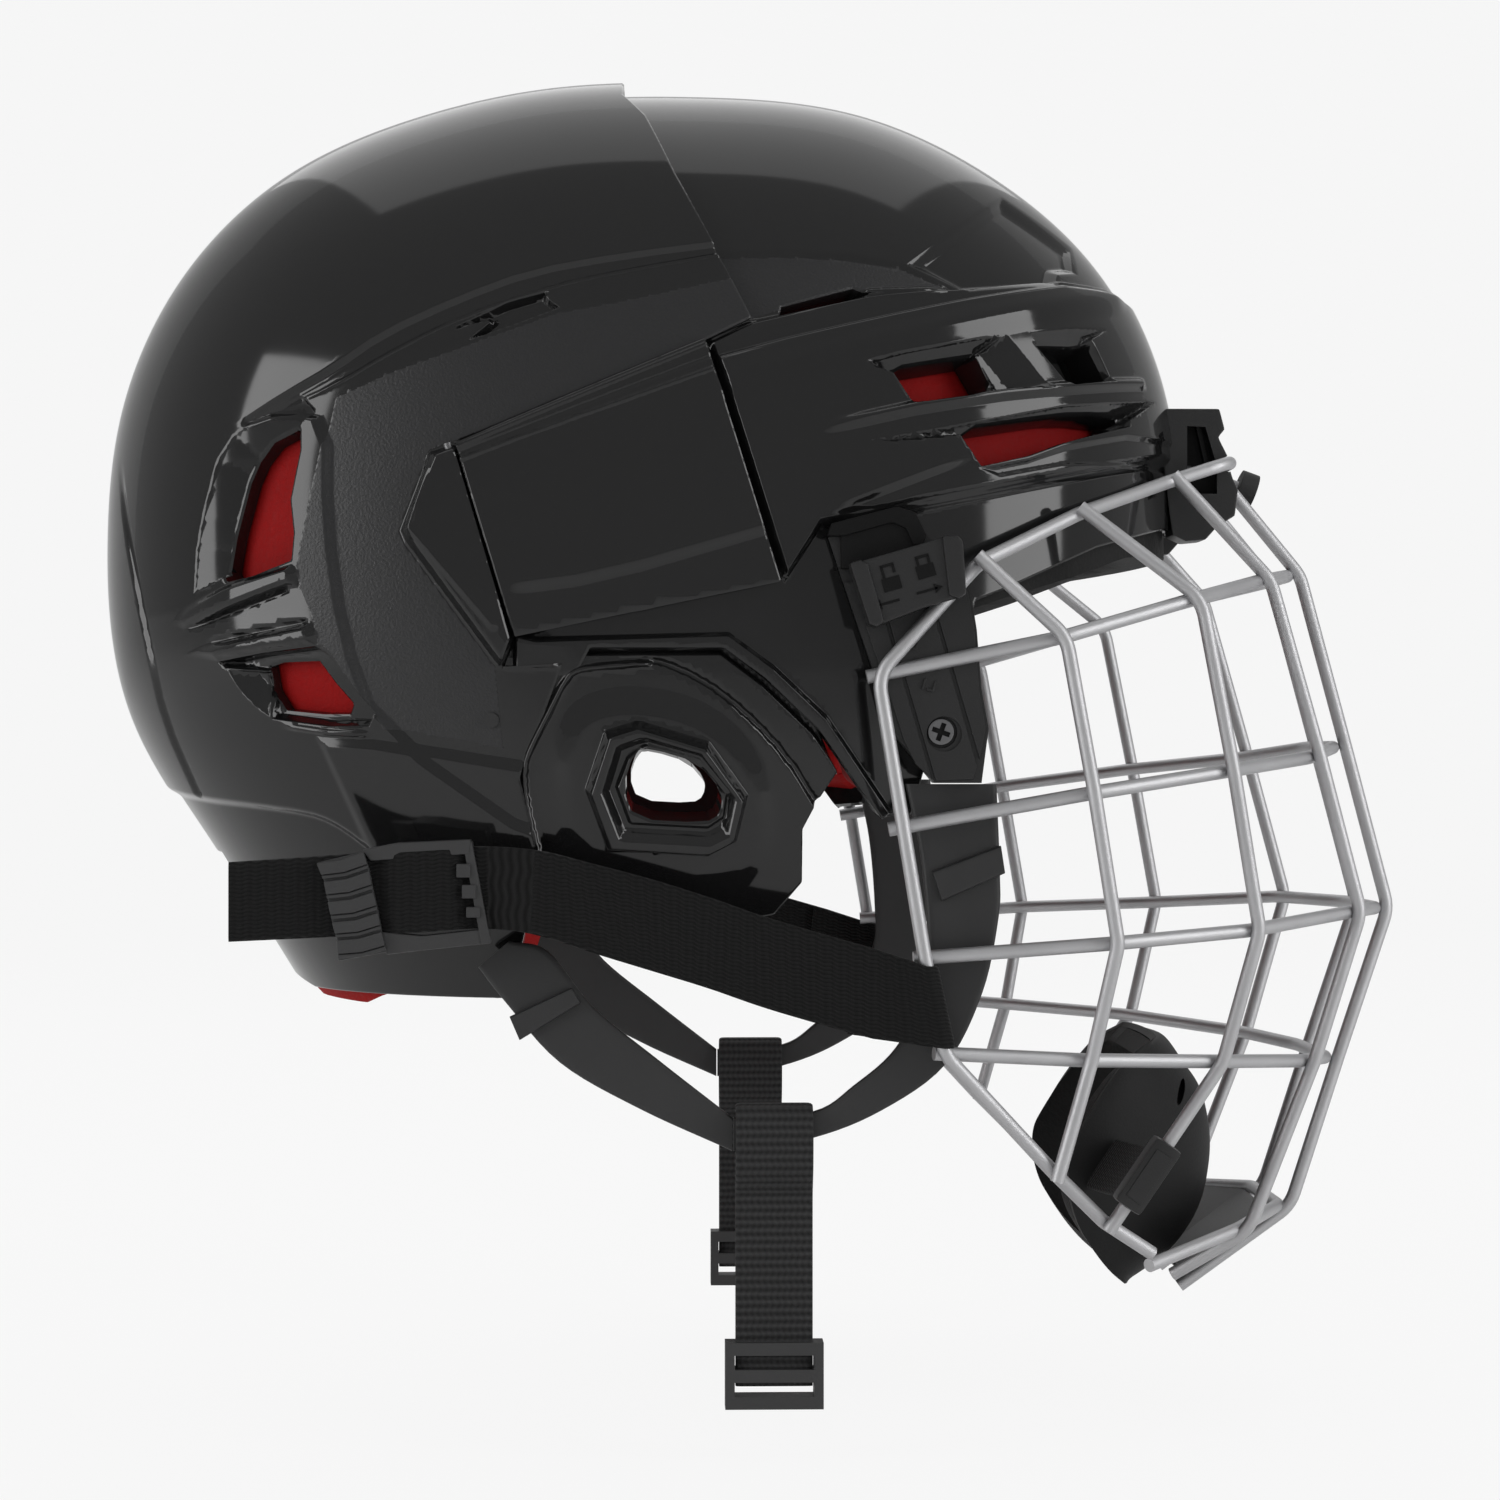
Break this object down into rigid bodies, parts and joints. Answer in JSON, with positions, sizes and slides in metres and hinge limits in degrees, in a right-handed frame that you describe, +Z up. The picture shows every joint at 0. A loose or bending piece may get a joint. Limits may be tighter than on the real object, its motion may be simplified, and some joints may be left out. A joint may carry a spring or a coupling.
{
  "type": "ice hockey helmet with face cage",
  "caption": "Two-part vented hard-shell sports helmet with foam liner, ear guards, a hinged wire face cage with chin cup, and webbing straps.",
  "frame": {"origin": "centre of the wearer's head at brow level, on the plane of symmetry", "axes": "+X forward out of the face, +Y to the wearer's left, +Z up"},
  "size_m": [0.3363, 0.219, 0.3315],
  "materials": {
    "shell_gloss": "gloss black moulding",
    "guard_gloss": "gloss black moulding",
    "bracket_matte": "matte dark grey moulding",
    "sling_matte": "soft matte dark grey moulding",
    "foam_red": "red foam",
    "foam_black": "black foam",
    "wire_steel": "satin bright wire",
    "plate_dark": "dark satin plate",
    "screw_steel": "plated screw",
    "bumper_rubber": "black rubber",
    "webbing_black": "ribbed black webbing",
    "buckle_grey": "dark grey moulding",
    "cup_matte": "matte black moulding"
  },
  "bodies": {
    "rear_shell": {"rear_shell": "shell_gloss", "rear_liner": "foam_red", "occipital_pad": "foam_black", "ear_guard_right": "guard_gloss", "ear_guard_left": "guard_gloss", "ear_guard_studs": "bracket_matte", "latch_pins": "screw_steel", "sling_rear_right": "sling_matte", "sling_rear_left": "sling_matte", "sling_keepers_rear": "sling_matte", "sling_studs": "bracket_matte", "strap_anchors": "bracket_matte"},
    "front_shell": {"front_shell": "shell_gloss", "front_liner": "foam_red", "brow_pad": "foam_black", "temple_pad_right": "foam_red", "temple_pad_left": "foam_red", "top_clip_right": "bracket_matte", "top_clip_left": "bracket_matte", "top_clip_screws": "screw_steel", "temple_bracket_right": "bracket_matte", "temple_bracket_left": "bracket_matte", "bracket_screws": "screw_steel", "sling_front_right": "sling_matte", "sling_front_left": "sling_matte", "sling_keepers_front": "sling_matte"},
    "side_latch_right": {"side_latch_right": "shell_gloss"},
    "side_latch_left": {"side_latch_left": "shell_gloss"},
    "cage": {"cage_frame_wire": "wire_steel", "cage_cross_bar_1": "wire_steel", "cage_cross_bar_2": "wire_steel", "cage_cross_bar_3": "wire_steel", "cage_cross_bar_4": "wire_steel", "cage_upright_2_right": "wire_steel", "cage_upright_2_left": "wire_steel", "cage_upright_3_right": "wire_steel", "cage_upright_3_left": "wire_steel", "cage_upright_4_right": "wire_steel", "cage_upright_4_left": "wire_steel", "cage_upright_5_right": "wire_steel", "cage_upright_5_left": "wire_steel", "cage_chin_rail": "wire_steel", "chin_plate": "plate_dark", "stop_peg": "wire_steel", "stop_bumper": "bumper_rubber", "chin_cup_shell": "cup_matte", "chin_cup_pad": "foam_black", "cup_sleeves": "cup_matte", "cup_straps": "webbing_black"},
    "cage_lock_right": {"cage_lock_right": "bracket_matte"},
    "cage_lock_left": {"cage_lock_left": "bracket_matte"},
    "side_strap_right": {"side_strap_right": "webbing_black", "side_buckle_right": "buckle_grey"},
    "side_strap_left": {"side_strap_left": "webbing_black", "side_buckle_left": "buckle_grey"},
    "chin_strap_right": {"chin_strap_right": "webbing_black", "chin_buckle_right": "buckle_grey"},
    "chin_strap_left": {"chin_strap_left": "webbing_black", "chin_buckle_left": "buckle_grey"}
  },
  "joints": [
    {"name": "size_slide", "type": "slide", "parent": "rear_shell", "child": "front_shell", "axis": [1, 0, 0], "range_m": [0, 0.01]},
    {"name": "latch_right_flip", "type": "hinge", "parent": "rear_shell", "child": "side_latch_right", "pos_m": [-0.04671, -0.09801, 0.03766], "axis": [0.2938, -0.0693, -0.9534], "range_deg": [0, 75]},
    {"name": "latch_left_flip", "type": "hinge", "parent": "rear_shell", "child": "side_latch_left", "pos_m": [-0.04671, 0.09801, 0.03766], "axis": [-0.2938, -0.0693, 0.9534], "range_deg": [0, 75]},
    {"name": "cage_flip", "type": "hinge", "parent": "front_shell", "child": "cage", "pos_m": [0.1499, 0, 0.0387], "axis": [0, -1, 0], "range_deg": [0, 85]},
    {"name": "lock_right_slide", "type": "slide", "parent": "front_shell", "child": "cage_lock_right", "axis": [-1, 0, 0], "range_m": [0, 0.01]},
    {"name": "lock_left_slide", "type": "slide", "parent": "front_shell", "child": "cage_lock_left", "axis": [-1, 0, 0], "range_m": [0, 0.01]},
    {"name": "side_strap_right_swing", "type": "hinge", "parent": "cage", "child": "side_strap_right", "pos_m": [0.07094, -0.105, -0.10693], "axis": [-0.2048, 0, 0.9788], "range_deg": [0, 90]},
    {"name": "side_strap_left_swing", "type": "hinge", "parent": "cage", "child": "side_strap_left", "pos_m": [0.07094, 0.105, -0.10693], "axis": [0.2048, 0, -0.9788], "range_deg": [0, 90]},
    {"name": "chin_strap_right_swing", "type": "hinge", "parent": "front_shell", "child": "chin_strap_right", "pos_m": [0.03093, -0.095, -0.12234], "axis": [1, 0, 0], "range_deg": [-12, 20]},
    {"name": "chin_strap_left_swing", "type": "hinge", "parent": "front_shell", "child": "chin_strap_left", "pos_m": [0.03093, 0.095, -0.12234], "axis": [-1, 0, 0], "range_deg": [-12, 20]}
  ]
}
